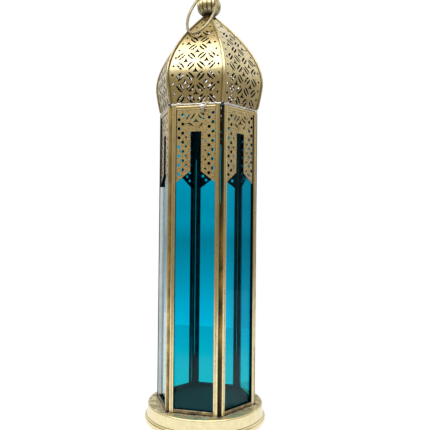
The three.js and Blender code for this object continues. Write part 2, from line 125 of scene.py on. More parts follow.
def ramp(value, *stops):
    """A colour ramp: stops are (place, grey or colour)."""
    made = put(value.id_data, "ShaderNodeValToRGB", [value])
    points = made.color_ramp.elements
    while len(points) < len(stops):
        points.new(0.5)
    for point, (place, tone) in zip(points, stops):
        point.position = place
        point.color = (*tone, 1) if isinstance(tone, tuple) else (tone, tone, tone, 1)
    return made.outputs["Color"]


world = bpy.data.worlds.new("studio")
bpy.context.scene.world = world
sky = bare(world)
outlook = put(sky, "ShaderNodeTexCoord").outputs["Generated"]
side_share, depth_share, rise = [sums("MULTIPLY_ADD", part, 0.5, 0.5) for part in split(outlook)]
wall_tone = ramp(
    rise, (0.37, 1.0), (0.392, 0.91), (0.424, 0.72), (0.4405, 0.58), (0.465, 0.45), (0.482, 0.37),
    (0.4906, 0.45), (0.499, 0.52), (0.512, 0.48), (0.53, 0.53), (0.6, 0.75), (0.75, 1.0),
)
wall_shade = ramp(side_share, (0.395, 1.0), (0.405, 0.66), (0.43, 0.66), (0.47, 1.0))
wall_tone = got(sky, "ShaderNodeVectorMath", [wall_tone, wall_shade], operation="MULTIPLY")
room_tone = ramp(
    rise, (0.4, (0.33, 0.27, 0.18)), (0.5, (0.32, 0.27, 0.18)), (0.57, (0.37, 0.32, 0.21)),
    (0.62, (0.5, 0.45, 0.33)), (0.7, (0.6, 0.55, 0.43)), (0.82, (0.85, 0.82, 0.72)),
    (0.93, (0.8, 0.7, 0.5)), (0.985, (0.6, 0.48, 0.28)),
)
behind = ramp(depth_share, (0.64, 0), (0.74, 1))
path = put(sky, "ShaderNodeLightPath").outputs
seen = sums("MAXIMUM", path["Is Camera Ray"], path["Is Glossy Ray"])
seen = sums("MAXIMUM", seen, path["Is Transmission Ray"])
seen_tone = blend(path["Is Camera Ray"], blend(behind, room_tone, wall_tone), (1, 1, 1))
ambient = (0.55, 0.55, 0.55)
glow = got(sky, "ShaderNodeBackground", {"Color": blend(seen, ambient, seen_tone), "Strength": 1.0})
put(sky, "ShaderNodeOutputWorld", [glow])

softbox = bpy.data.lights.new("softbox", "AREA")
softbox.shape = "RECTANGLE"
softbox.size = 2.2
softbox.size_y = 1.08
softbox.energy = 15
add_object("softbox", softbox).location = (0, -0.66, 1.1)

paper_front, paper_back, paper_half = -0.565, 0.45, 1.0
paper_grey = (0.36, 0.36, 0.36, 1)
# What the paper adds for each kind of ray; a look through glass counts as glossy too
paper_glows = {"Is Camera Ray": 0.75, "Is Glossy Ray": 0.74, "Is Transmission Ray": -0.39}
paper_mesh = bpy.data.meshes.new("paper")
paper_mesh.from_pydata([
    (-paper_half, paper_front, 0), (paper_half, paper_front, 0),
    (paper_half, paper_back, 0), (-paper_half, paper_back, 0),
], [], [(0, 1, 2, 3)])
paper = add_object("paper", paper_mesh)
paper_finish = bpy.data.materials.new("white_paper")
sheet = bare(paper_finish)
paper_path = put(sheet, "ShaderNodeLightPath").outputs
paper_glow = 0.0
for ray, level in paper_glows.items():
    paper_glow = sums("MULTIPLY_ADD", paper_path[ray], level, paper_glow)
both = got(sheet, "ShaderNodeAddShader", [
    got(sheet, "ShaderNodeBsdfDiffuse", {"Color": paper_grey}),
    got(sheet, "ShaderNodeEmission", {"Strength": paper_glow}),
])
put(sheet, "ShaderNodeOutputMaterial", [both])
paper_mesh.materials.append(paper_finish)

# The base: a rolled brass foot ring under a shallow spun drum with a soft shoulder. Both are
# polished pale, with small brown stains from handling, and soft-soldered together. The
# drum's top is tarnished, with painted shade inside and at the foot of the frames.
solder_gap = 0.3 * MM
base_height = 18 * MM
foot_height = 7 * MM
foot_radius = 60.3 * MM
foot_inner = 52.8 * MM
foot_round = 3.4 * MM
foot_shoulder = 2.66 * MM
drum_radius = 57.3 * MM
drum_foot_radius = 58.2 * MM
drum_swell = 0.1 * MM
drum_waist_drop = 5 * MM
drum_rim = 0.8 * MM
drum_wall = 1.2 * MM
drum_shoulder = 1.4 * MM
turned_sides = 192
weld_reach = 0.001 * MM
flat_reach = 0.0001 * MM
# Reach of the painted shade inside the frames and along their foot, and of a painted shadow spot
inside_shade_reach = (42 * MM, 44 * MM)
foot_shade_reach = (45 * MM, 47.5 * MM)
groove_shadow_reach = (2.5 * MM, 4.5 * MM)
groove_foot = 50.5 * MM
roughest = 0.8
# The patina's sizes, where a metal doesn't give its own
patina_sizes = {"cloud_size": 20 * MM, "speck_size": 1.2 * MM, "speck_share": 0.4, "grain_size": 0.4 * MM}


def fade(value, start, end, low=0.0, high=1.0):
    """The value's way from start to end, told from low to high and held outside."""
    return got(value.id_data, "ShaderNodeMapRange", [value, start, end, low, high])


def times(*factors):
    """The product of the factors."""
    product = factors[0]
    for factor in factors[1:]:
        product = sums("MULTIPLY", product, factor)
    return product


def add_socket(tree, name, kind, value=None, way="INPUT"):
    """One more socket of a node group."""
    made = tree.interface.new_socket(name=name, in_out=way, socket_type="NodeSocket" + kind)
    if value is not None:
        made.default_value = value


def label(key):
    """The socket name of a keyword."""
    return key.replace("_", " ").title()


def patina_group():
    """Tarnish clouds, small specks and a fine grain, for every metal of the lantern."""
    tree = bpy.data.node_groups.new("patina", "ShaderNodeTree")
    for key, value in patina_sizes.items():
        add_socket(tree, label(key), "Float", value)
    for name in ("Clouds", "Specks", "Grain"):
        add_socket(tree, name, "Float", way="OUTPUT")
    given = put(tree, "NodeGroupInput").outputs
    place = put(tree, "ShaderNodeTexCoord").outputs["Object"]

    def noise(size, detail, roughness):
        return put(tree, "ShaderNodeTexNoise", {
            "Vector": place, "Scale": sums("DIVIDE", 1.0, size), "Detail": detail, "Roughness": roughness,
        }).outputs["Fac"]

    clouds = fade(noise(given["Cloud Size"], 4.0, 0.6), 0.35, 0.65)
    edge = sums("SUBTRACT", 0.72, times(given["Speck Share"], 0.3))
    specks = fade(noise(given["Speck Size"], 3.0, 0.65), edge, sums("ADD", edge, 0.1))
    put(tree, "NodeGroupOutput", [clouds, specks, noise(given["Grain Size"], 2.0, 0.5)])
    return tree


patina = patina_group()


def metal(
    name, bright, tarnish, cloud, speck, shine, dull, relief=0.08, metallic=1.0,
    grime_and_shade=None, grime_and_shade_tone=(0.025, 0.018, 0.01), grime_and_shade_rough=0.6, **sizes
):
    """Tarnish clouds and specks over a bright colour, and the grime and painted shade of its mask."""
    finish = bpy.data.materials.new(name)
    tree = bare(finish)
    age = put(tree, "ShaderNodeGroup", node_tree=patina)
    for key, value in sizes.items():
        age.inputs[label(key)].default_value = value
    clouds, specks, grain = age.outputs
    dirt = sums("MULTIPLY_ADD", specks, speck, times(clouds, cloud))
    dirt = got(tree, "ShaderNodeClamp", [dirt])
    tone = blend(dirt, bright, tarnish)
    rough = fade(dirt, 0.0, 1.0, shine, dull)
    if grime_and_shade is not None:
        mask = grime_and_shade(tree, clouds)
        tone = blend(mask, tone, grime_and_shade_tone)
        rough = sums("MAXIMUM", rough, sums("MINIMUM", times(mask, grime_and_shade_rough), roughest))
    bump = got(tree, "ShaderNodeBump", {"Strength": relief, "Distance": 0.0003, "Height": grain})
    shader = got(tree, "ShaderNodeBsdfPrincipled", {
        "Base Color": tone, "Metallic": metallic, "Roughness": rough, "Normal": bump,
    })
    put(tree, "ShaderNodeOutputMaterial", [shader])
    return finish


def smooth(mesh, angle=35):
    """Smooth shading that keeps the edges sharper than the angle."""
    mesh.polygons.foreach_set("use_smooth", [True] * len(mesh.polygons))
    mesh.set_sharp_from_angle(angle=radians(angle))


def fit(name, mesh, finish, slot, *nodes, body="lantern"):
    """A finished mesh becomes a piece that rides on its body in place of its CAD nodes."""
    if not mesh.materials:
        mesh.materials.append(finish)
    piece = add_object(name, mesh)
    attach(piece, body)
    if nodes:
        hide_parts(*nodes)


def to_mesh(name, shape, angle=35):
    """The bmesh as a mesh, its doubles merged and its faces turned outwards."""
    bmesh.ops.remove_doubles(shape, verts=shape.verts, dist=weld_reach)
    bmesh.ops.recalc_face_normals(shape, faces=shape.faces)
    mesh = bpy.data.meshes.new(name)
    shape.to_mesh(mesh)
    shape.free()
    smooth(mesh, angle)
    return mesh


def turned(name, profile, sides=turned_sides):
    """A closed profile of (radius, height) points turned round the lantern's axis."""
    shape = bmesh.new()
    for low, high in zip(profile, profile[1:] + profile[:1]):
        for side in range(sides):
            first, second = [2 * pi * (side + step) / sides for step in (0, 1)]
            ring = [
                shape.verts.new((r * cos(t), r * sin(t), z))
                for (r, z), t in ((low, first), (low, second), (high, second), (high, first))
            ]
            if max(low[0], high[0]) < flat_reach:
                bmesh.ops.delete(shape, geom=ring, context="VERTS")
            else:
                shape.faces.new(ring)
    bmesh.ops.remove_doubles(shape, verts=shape.verts, dist=weld_reach)
    bmesh.ops.dissolve_degenerate(shape, edges=shape.edges, dist=flat_reach)
    return to_mesh(name, shape)


def arc(middle_r, middle_z, radius, start, end, steps):
    """Points of an arc in a profile, from one angle in degrees to another."""
    turns = [radians(start + (end - start) * step / steps) for step in range(steps + 1)]
    return [(middle_r + radius * cos(t), middle_z + radius * sin(t)) for t in turns]


pale_brass = metal(
    "pale_brass", (0.86, 0.76, 0.47), (0.46, 0.34, 0.14), cloud=0.14, speck=0.45, shine=0.16, dull=0.4,
    cloud_size=0.03, speck_size=0.0045, speck_share=0.12,
)
foot_profile = [
    (foot_inner, 0), *arc(foot_radius - foot_round, foot_round, foot_round, -90, 0, 6),
    *arc(foot_radius - foot_shoulder, foot_height - foot_shoulder, foot_shoulder, 0, 90, 8),
    (foot_inner, foot_height),
]
fit("foot_ring", turned("foot_ring", foot_profile), pale_brass, "brass_base", "base_foot_ring")

drum_foot = foot_height + solder_gap
drum_profile = [
    (0, base_height), *arc(drum_radius - drum_shoulder, base_height - drum_shoulder, drum_shoulder, 90, 0, 6),
    (drum_radius + drum_swell, base_height - drum_waist_drop), (drum_foot_radius, drum_foot + drum_rim),
    (drum_foot_radius, drum_foot), (drum_foot_radius - drum_wall, drum_foot),
    (drum_radius - drum_wall, base_height - drum_wall), (0, base_height - drum_wall),
]


def spot(tree):
    """A place on the piece, as its x, y and z."""
    return split(put(tree, "ShaderNodeTexCoord").outputs["Object"])


def around(out, turn, height):
    """A point this far out from the axis, at a turn from the door's middle."""
    return Vector((out * sin(turn), -out * cos(turn), height))


def reach(x, y, degrees):
    """How far out a place lies in a flat direction, in degrees round from the door's."""
    turn = radians(degrees)
    return sums("MULTIPLY_ADD", x, sin(turn), times(y, -cos(turn)))


def pick_reach(pick, x, y, angles):
    """The largest or the smallest of a place's distances along the angles, either way."""
    found = None
    for degrees in angles:
        off = sums("ABSOLUTE", reach(x, y, degrees))
        found = off if found is None else sums(pick, found, off)
    return found


def drum_shade_and_tarnish(tree, clouds):
    """Painted shade in and at the foot of the frames, and tarnish on the rest of the top."""
    x, y, z = spot(tree)
    spread = pick_reach("MAXIMUM", x, y, (0, 60, 120))
    top = fade(z, base_height - 0.25 * MM, base_height - 0.05 * MM)
    inside = fade(spread, *inside_shade_reach, 1.0, 0.0)
    foot_shade_and_tarnish = fade(spread, *foot_shade_reach, 1.0, 0.42)
    found = sums("MAXIMUM", inside, times(foot_shade_and_tarnish, sums("ADD", clouds, 0.2)))
    place = put(tree, "ShaderNodeTexCoord").outputs["Object"]
    # Painted shadow spots at the feet of the corner grooves
    for corner in range(6):
        groove = around(groove_foot, radians(60 * corner + 30), base_height)
        away = put(tree, "ShaderNodeVectorMath", [place, groove], operation="DISTANCE").outputs["Value"]
        found = sums("MAXIMUM", found, fade(away, *groove_shadow_reach, 1.0, 0.0))
    return times(top, found)


# Its mask's tone is painted shade inside and at the foot of the frames, and tarnish elsewhere.
drum_brass = metal(
    "drum_brass", (0.86, 0.76, 0.47), (0.46, 0.34, 0.14), cloud=0.16, speck=0.5, shine=0.16, dull=0.4,
    grime_and_shade=drum_shade_and_tarnish, grime_and_shade_tone=(0.085, 0.064, 0.062), grime_and_shade_rough=2.2,
    cloud_size=0.005, speck_size=0.0035, speck_share=0.2,
)
fit("drum", turned("drum", drum_profile), drum_brass, "brass_base", "base_drum")

# The six frames: brass strip folded to a channel with a crowned face, two long stiles with
# the rails butted between them and soldered. Five are fixed, and the front one is the door.
# The left front one has painted shade all over its far stile, and beside it a pale bevel
# that is a painted reflection.
side_angle = radians(60)
apothem = 45.033 * MM
frame_half = 23.171 * MM
frame_foot = 18.3 * MM
frame_top = 305.7 * MM
frame_depth = 4.6 * MM
stile_face = 4.2 * MM
rail_face = 3.4 * MM
rail_sunk = 0.12 * MM
bead_rise = 0.5 * MM
flange = 1 * MM
web = 0.6 * MM
lip = 0.4 * MM
lip_width = 3.4 * MM
bead_steps = 12
# The bead's middle steps are painted shade down its crown.
bead_shade_steps = range(4, 8)
glare_section = ((0, 0.35 * MM), (0, 2.75 * MM), (3.2 * MM, 2.75 * MM))
glare_top = 232 * MM
side_names = ("front", "right_front", "right_rear", "rear", "left_rear", "left_front")
fixed_sides = side_names[1:]
# A frame's finishes, in the order of its materials; the second, third and fifth are painted shade
plain, black_shade, flank_shade, railed, bead_shade = range(5)


def channel(face):
    """The folded channel's outline as (across, behind the crown) points."""
    bead = []
    for step in range(bead_steps + 1):
        share = step / bead_steps
        off = 2 * share - 1
        bead.append((share * face, bead_rise * (0.55 * off ** 2 + 0.45 * off ** 8)))
    return bead + [
        (face, flange), (web, flange), (web, frame_depth - lip), (lip_width, frame_depth - lip),
        (lip_width, frame_depth), (0, frame_depth),
    ]


def skin(shape, *rings):
    """Faces between each ring of corners and the next."""
    return [
        shape.faces.new((low[i], low[(i + 1) % len(low)], high[(i + 1) % len(low)], high[i]))
        for low, high in zip(rings, rings[1:]) for i in range(len(low))
    ]


def solid(shape, *rings):
    """The same, closed by the first ring and the last."""
    sides = skin(shape, *rings)
    shape.faces.new(rings[0])
    shape.faces.new(rings[-1])
    return sides


def bar(shape, outline, corner, across, along, length, rail=False):
    """A length of channel with painted shade mid-bead, at its inner edge, inside and on its flank."""
    sides = solid(shape, *[
        [shape.verts.new(corner + across * x + Vector((0, y, 0)) + along * reached) for x, y in outline]
        for reached in (0, length)
    ])
    for i, face in enumerate(sides):
        if i >= bead_steps:
            face.material_index = flank_shade if face is sides[-1] else black_shade
        elif rail:
            face.material_index = railed
        elif i in bead_shade_steps:
            face.material_index = bead_shade
        else:
            face.material_index = black_shade if i == bead_steps - 1 else plain


def frame_mesh(name):
    """Two stiles and two rails, in the place of the front panel."""
    right, up = Vector((1, 0, 0)), Vector((0, 0, 1))
    shape = bmesh.new()
    for x, across in ((-frame_half, right), (frame_half, -right)):
        bar(shape, channel(stile_face), Vector((x, -apothem, frame_foot)), across, up, frame_top - frame_foot)
    rail_half = frame_half - stile_face
    for z, across in ((frame_foot, up), (frame_top, -up)):
        start = Vector((-rail_half, -apothem + rail_sunk, z))
        bar(shape, channel(rail_face), start, across, right, 2 * rail_half, True)
    return to_mesh(name, shape, 30)


def edge_grime(tree, clouds):
    """Handling dirt along the outer edge of the door's closing stile, in its upper half."""
    x, y, z = spot(tree)
    above = fade(z, 150 * MM, 230 * MM)
    outer = fade(x, frame_half - 2.6 * MM, frame_half - 1.4 * MM, 0.0, 0.7)
    return times(above, outer, sums("LESS_THAN", y, -apothem + 1.4 * MM))


def groove_shade(tree, clouds):
    """Painted shade in the upper half of the grooves right of the door, and at their feet."""
    x, y, z = spot(tree)
    above = fade(z, 190 * MM, 235 * MM)
    below = fade(z, 50 * MM, 100 * MM, 0.65, 0.0)
    return times(sums("MAXIMUM", above, below), fade(x, 0.0, 10 * MM))


def rail_grime(tree, clouds):
    """Candle soot and flux on the lower rails."""
    low = fade(spot(tree)[2], 24 * MM, 26 * MM, 1.0, 0.0)
    return times(low, sums("MULTIPLY_ADD", clouds, 0.45, 0.45))


body_brass = metal(
    "body_brass", (0.88, 0.78, 0.46), (0.3, 0.2, 0.08), cloud=0.22, speck=0.65, shine=0.17, dull=0.42,
    grime_and_shade=edge_grime, grime_and_shade_tone=(0.16, 0.11, 0.045), cloud_size=0.012, speck_size=0.0016, speck_share=0.45,
)
# Painted shade: near black, for channel insides, groove rods, hole linings and groove tops.
shade_black = metal(
    "shade_black", (0.042, 0.05, 0.08), (0.018, 0.021, 0.033), cloud=0.6, speck=0.3, shine=0.5, dull=0.75,
    cloud_size=0.008, speck_size=0.0015,
)
# Painted shade on the frames' outer flanks, which face each other across the grooves.
flank_shade_brass = metal(
    "flank_shade_brass", (0.76, 0.6, 0.31), (0.08, 0.055, 0.025), cloud=0.65, speck=0.3, shine=0.25, dull=0.55,
    grime_and_shade=groove_shade, grime_and_shade_tone=(0.1, 0.082, 0.045), cloud_size=0.024, speck_size=0.002,
)
rail_brass = metal(
    "rail_brass", (0.74, 0.6, 0.32), (0.22, 0.14, 0.06), cloud=0.3, speck=0.6, shine=0.24, dull=0.45,
    grime_and_shade=rail_grime, grime_and_shade_tone=(0.1, 0.095, 0.085), cloud_size=0.006, speck_size=0.0014, speck_share=0.45,
)
# Painted shade down the middle of a stile's crowned bead.
bead_shade_brass = metal(
    "bead_shade_brass", (0.72, 0.59, 0.33), (0.22, 0.14, 0.06), cloud=0.35, speck=0.7, shine=0.26, dull=0.45,
    cloud_size=0.016, speck_size=0.0018, speck_share=0.5,
)
# Pale blue-grey and not metal: a painted reflection of the left front pane seen aslant.
pane_glare = metal(
    "pane_glare", (0.74, 0.83, 0.83), (0.5, 0.57, 0.57), cloud=0.4, speck=0.3, shine=0.55, dull=0.7, metallic=0.0,
    cloud_size=0.015, speck_size=0.002,
)


def fit_turned(name, mesh, turns, finish, slot, *nodes):
    """A copy of a front piece, turned round the axis by this many sixths."""
    copy = mesh.copy()
    copy.name = name
    copy.transform(Matrix.Rotation(turns * side_angle, 4, "Z"))
    fit(name, copy, finish, slot, *nodes)


front_frame = frame_mesh("door_channel")
for finish in (body_brass, shade_black, flank_shade_brass, rail_brass, bead_shade_brass):
    front_frame.materials.append(finish)
# The left front frame's far stile is painted shade all over.
far_stile_frame = front_frame.copy()
for face in far_stile_frame.polygons:
    if face.center.x < -frame_half + stile_face:
        face.material_index = black_shade
# A pale bevel by the far stile of the left front frame, a painted reflection on its pane.
bevel = bmesh.new()
solid(bevel, *[
    [bevel.verts.new((-frame_half + stile_face + x, -apothem + y, z)) for x, y in glare_section]
    for z in (frame_foot + rail_face, glare_top)
])
fit_turned("glare_bevel", to_mesh("glare_bevel", bevel), 5, pane_glare, "tinned_solder")
for turns, side in enumerate(fixed_sides, 1):
    side_frame = far_stile_frame if side == "left_front" else front_frame
    fit_turned(f"channel_{side}", side_frame, turns, body_brass, "brass_body", f"frame_{side}")
fit("door_channel", front_frame, body_brass, "brass_body", "door_frame", body="door")

# The seams: black rods in the corner grooves between the fixed frames, at head and foot,
# are painted shade of the grooves. A thin black wire runs behind the door's closing stile,
# that the door shuts on.
seam_runs = ((frame_foot, 52 * MM), (265 * MM, frame_top))
# Rods: corner in sixths of a turn, reach from the axis, radius, foot and top
dark_rods = [(corner, 46.9 * MM, 0.7 * MM, *run) for corner in (1.5, 2.5, 3.5, 4.5) for run in seam_runs]
dark_rods.append((0.5, 45.55 * MM, 0.6 * MM, frame_foot, 215 * MM))
seams = bmesh.new()
for corner, out, radius, low, high in dark_rods:
    middle = around(out, corner * side_angle, (low + high) / 2)
    bmesh.ops.create_cone(
        seams, cap_ends=True, segments=10, radius1=radius, radius2=radius, depth=high - low,
        matrix=Matrix.Translation(middle),
    )
fit("dark_groove_rods", to_mesh("dark_groove_rods", seams), shade_black, "tinned_solder")

# The panes: flat turquoise glass, coloured through, one in each frame behind the pierced fret.
# The CAD panes have the real shape and stay, with a clear glass that tints what is behind.
# A film of wax greys them when seen aslant, and hazes them at the candle's height.
glass_tones = ((0.003, 0.71, 0.885), (0.005, 0.75, 0.93))
glass_foot_tone = (0.005, 0.87, 0.94)
blue_glass = bpy.data.materials.new("blue_glass")
glaze = bare(blue_glass)
streaks = got(glaze, "ShaderNodeMapping", {
    "Vector": put(glaze, "ShaderNodeTexCoord").outputs["Object"], "Scale": (1.0, 1.0, 0.12),
})
wave = put(glaze, "ShaderNodeTexNoise", {"Vector": streaks, "Scale": 160.0, "Detail": 2.0})
ripple = got(glaze, "ShaderNodeBump", {"Strength": 0.06, "Distance": 0.0002, "Height": wave.outputs["Fac"]})
pane_height = spot(glaze)[2]
glass_tone = blend(wave.outputs["Fac"], *glass_tones)
glass_tone = blend(fade(pane_height, 35 * MM, 95 * MM, 1.0, 0.0), glass_tone, glass_foot_tone)
facing = put(glaze, "ShaderNodeLayerWeight", {"Blend": 0.5}).outputs["Facing"]
haze = fade(pane_height, 66 * MM, 78 * MM, 0.16, 0.0)
clear = got(glaze, "ShaderNodeBsdfPrincipled", {
    "Coat Weight": sums("MAXIMUM", fade(facing, 0.55, 0.8), haze),
    "Coat IOR": 1.7, "Coat Roughness": 0.04, "Base Color": glass_tone, "Metallic": 0.0, "Roughness": 0.02,
    "IOR": 1.2, "Transmission Weight": 1.0, "Specular Tint": (0.1, 0.5, 0.6, 1),
    "Specular IOR Level": 0.12, "Normal": ripple,
})
put(glaze, "ShaderNodeOutputMaterial", [clear])


def refinish(finish, *nodes):
    """CAD nodes that keep their shape get the finer material."""
    for node in nodes:
        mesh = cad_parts[node].data
        mesh.materials.clear()
        mesh.materials.append(finish)


refinish(blue_glass, "door_glass", *[f"glass_{side}" for side in fixed_sides])

# The frets: thin brass sheet behind the upper part of each frame, sawn to a lancet slot
# and drilled by hand with staggered dots and a sprig. They lie on the glass.
pocket_half = 20.471 * MM
pocket_top = 303.8 * MM
rail_under = 302.3 * MM
fret_face = 1.2 * MM
fret_thickness = 0.5 * MM
slot_half = 5.2 * MM
slot_top = rail_under - 20.7 * MM
splay_top = rail_under - 57.9 * MM
splay_reach = 18.971 * MM
splay_drop = 10.5 * MM
dot_radius = 1.55 * MM
small_dot_radius = 1.0 * MM
dot_pitch = 8.6 * MM
# Columns of dots: place across, first dot under the rail, count, radius
dot_columns = (
    (-16.4, 9.2, 7, dot_radius), (-12.8, 4.9, 7, dot_radius), (16.4, 3.6, 7, dot_radius),
    (12.8, 7.9, 7, dot_radius), (-9.5, 26.0, 4, small_dot_radius), (9.3, 29.9, 4, small_dot_radius),
)
sprig_middle = rail_under - 10.6 * MM
# Sawn leaves of the sprig: two ends and how far the middle bows out, from the sprig's middle
sprig_leaves = (
    (-9.5, 0.9, -5.1, 6.7, 0.5), (-5.6, 1.4, -1.3, 7.3, -0.6), (1.8, 5.8, 8.6, 1.2, -0.9),
    (4.4, 8.1, 8.8, 4.8, -0.5), (-8.5, -2.1, -2.7, -5.3, 0.6), (3.5, -5.3, 6.6, -2.1, -0.3),
)
shade_mark = "inner"


def new_tree(name, **inputs):
    """An empty tree with geometry, finish and painted shade sockets, and an input per size."""
    tree = bpy.data.node_groups.new(name, "GeometryNodeTree")
    for way in ("INPUT", "OUTPUT"):
        add_socket(tree, "Geometry", "Geometry", way=way)
    for coat in ("Finish", "Lining"):
        add_socket(tree, coat, "Material")
    for key, value in inputs.items():
        add_socket(tree, label(key), "Int" if isinstance(value, int) else "Float", value)
    return tree, put(tree, "NodeGroupInput").outputs


def close_tree(tree, geometry, given, inner=None):
    """Real faces and a finish at the tree's end, and painted shade on the faces that are marked."""
    real = got(tree, "GeometryNodeRealizeInstances", [geometry])
    done = got(tree, "GeometryNodeSetMaterial", {"Geometry": real, "Material": given["Finish"]})
    if inner is not None:
        done = got(tree, "GeometryNodeSetMaterial", {
            "Geometry": done, "Selection": inner, "Material": given["Lining"],
        })
        done = got(tree, "GeometryNodeRemoveAttribute", {"Geometry": done, "Name": shade_mark})
    put(tree, "NodeGroupOutput", [done])
    return tree


def grown(name, start, tree, finish, angle=35, **values):
    """The plain mesh that a tree makes from a starting mesh."""
    seed = add_object(name + "_start", start)
    growth = seed.modifiers.new("growth", "NODES")
    growth.node_group = tree
    named = {s.name: s.identifier for s in tree.interface.items_tree if s.in_out == "INPUT"}
    growth[named["Finish"]] = finish
    for key, value in values.items():
        growth[named[label(key)]] = value
    held = seed.evaluated_get(bpy.context.evaluated_depsgraph_get())
    mesh = bpy.data.meshes.new_from_object(held)
    seed.modifiers.clear()
    bpy.data.objects.remove(seed)
    mesh.name = name
    smooth(mesh, angle)
    return mesh


def vector(x=0.0, y=0.0, z=0.0):
    """A vector from its three parts."""
    return got(tree_of(x, y, z), "ShaderNodeCombineXYZ", [x, y, z])


def position(tree):
    """A point's place in the geometry, as its x, y and z."""
    return split(got(tree, "GeometryNodeInputPosition"))


def reshaped(geometry, *place):
    """The geometry with its points put in other places."""
    inputs = {"Geometry": geometry, "Position": vector(*place)}
    return got(geometry.id_data, "GeometryNodeSetPosition", inputs)


def laid(geometry, place=None, turn=None):
    """The geometry turned round Z and laid in its place."""
    inputs = {"Geometry": geometry, "Translation": place, "Rotation": turn and (0, 0, turn)}
    return got(geometry.id_data, "GeometryNodeTransform", inputs)


def stamped(points, stamp, **turn_or_size):
    """A stamp on every point."""
    inputs = {"Points": points, "Instance": stamp, **turn_or_size}
    return got(points.id_data, "GeometryNodeInstanceOnPoints", inputs)


def drill(tree, radius, depth, sides=14):
    """A round cutter, its axis along Z."""
    return put(tree, "GeometryNodeMeshCylinder", {
        "Vertices": sides, "Radius": radius, "Depth": depth,
    }, fill_type="NGON").outputs["Mesh"]


def leaf_cutter(tree, length, width, bow, bluntness, depth):
    """A leaf along X with its middle bowed out along Y. A bluntness of 1 makes an ellipse."""
    x, y, z = position(tree)
    fuller = times(sums("SIGN", y), sums("POWER", sums("ABSOLUTE", y), bluntness))
    wide = sums("MULTIPLY_ADD", fuller, times(width, 0.5), times(y, y, bow))
    return reshaped(drill(tree, 1.0, depth, 16), times(x, length, 0.5), wide, z)


def star_cutter(tree, tip, notch, depth):
    """A three-pointed star, one point along +Y."""
    x, y, z = position(tree)
    wave = sums("SINE", times(sums("ARCTAN2", y, x), 3.0))
    share = sums("POWER", sums("MULTIPLY_ADD", wave, -0.5, 0.5), 2.2)
    out = sums("MULTIPLY_ADD", share, sums("SUBTRACT", tip, notch), notch)
    return reshaped(drill(tree, 1.0, depth, 12), times(x, out), times(y, out), z)


def cut(tree, sheet_piece, cutters):
    """The sheet less its cutters, faces not looking up marked for painted shade, and the mark."""
    made = put(tree, "GeometryNodeMeshBoolean", operation="DIFFERENCE", solver="MANIFOLD")
    tree.links.new(sheet_piece, made.inputs["Mesh 1"])
    for cutter in cutters:
        real = got(tree, "GeometryNodeRealizeInstances", [cutter])
        tree.links.new(real, made.inputs["Mesh 2"])
    normal_z = split(got(tree, "GeometryNodeInputNormal"))[2]
    marked = got(tree, "GeometryNodeStoreNamedAttribute", {
        "Geometry": made.outputs["Mesh"], "Name": shade_mark, "Value": sums("LESS_THAN", normal_z, 0.5),
    }, data_type="FLOAT", domain="FACE")
    return marked, got(tree, "GeometryNodeInputNamedAttribute", {"Name": shade_mark}, data_type="FLOAT")


def fret_tree():
    """The dots, and the sprig's leaves round its star, cut through a sheet."""
    tree, given = new_tree(
        "pierced_fret", dot_pitch=dot_pitch, cutter_depth=4 * fret_thickness, leaf_width=1.45 * MM,
        leaf_bluntness=1.0, star_tip=3.3 * MM, star_notch=0.95 * MM,
    )
    depth = given["Cutter Depth"]
    down = vector(0.0, times(given["Dot Pitch"], -1.0))
    cutters = []
    for across, start, count, radius in dot_columns:
        first = (across * MM, rail_under - start * MM, 0)
        column = got(tree, "GeometryNodeMeshLine", {"Count": count, "Start Location": first, "Offset": down})
        cutters.append(stamped(column, drill(tree, radius, depth)))
    for x0, y0, x1, y1, bow in sprig_leaves:
        run = Vector(((x1 - x0) * MM, (y1 - y0) * MM))
        leaf = leaf_cutter(tree, run.length, given["Leaf Width"], bow * MM, given["Leaf Bluntness"], depth)
        middle = ((x0 + x1) / 2 * MM, sprig_middle + (y0 + y1) / 2 * MM, 0)
        cutters.append(laid(leaf, middle, atan2(run.y, run.x)))
    star = star_cutter(tree, given["Star Tip"], given["Star Notch"], depth)
    cutters.append(laid(star, (0, sprig_middle, 0)))
    pierced, inner = cut(tree, given["Geometry"], cutters)
    return close_tree(tree, pierced, given, inner)


def fret_blank():
    """The sawn outline as a closed sheet, its face on z = 0."""
    toe = splay_top - splay_drop * (pocket_half - slot_half) / (splay_reach - slot_half)
    half = [(pocket_half, pocket_top), (pocket_half, toe), (slot_half, splay_top), (slot_half, slot_top)]
    outline = [(-x, y) for x, y in half] + half[::-1]
    shape = bmesh.new()
    solid(shape, *[[shape.verts.new((x, y, z)) for x, y in outline] for z in (0, -fret_thickness)])
    return to_mesh("fret_blank", shape)


fret_brass = metal(
    "fret_brass", (0.82, 0.7, 0.4), (0.26, 0.17, 0.075), cloud=0.3, speck=0.85, shine=0.26, dull=0.48,
    cloud_size=0.01, speck_size=0.0013, speck_share=0.68,
)
# The fret's back and the walls of its holes are painted shade.
fret_mesh = grown("door_lattice", fret_blank(), fret_tree(), fret_brass, lining=shade_black)
fret_mesh.transform(Matrix.Translation((0, -apothem + fret_face, 0)) @ Matrix.Rotation(pi / 2, 4, "X"))
for turns, side in enumerate(fixed_sides, 1):
    fit_turned(f"lattice_{side}", fret_mesh, turns, fret_brass, "brass_body", f"fret_{side}")
fit("door_lattice", fret_mesh, fret_brass, "brass_body", "door_fret", body="door")

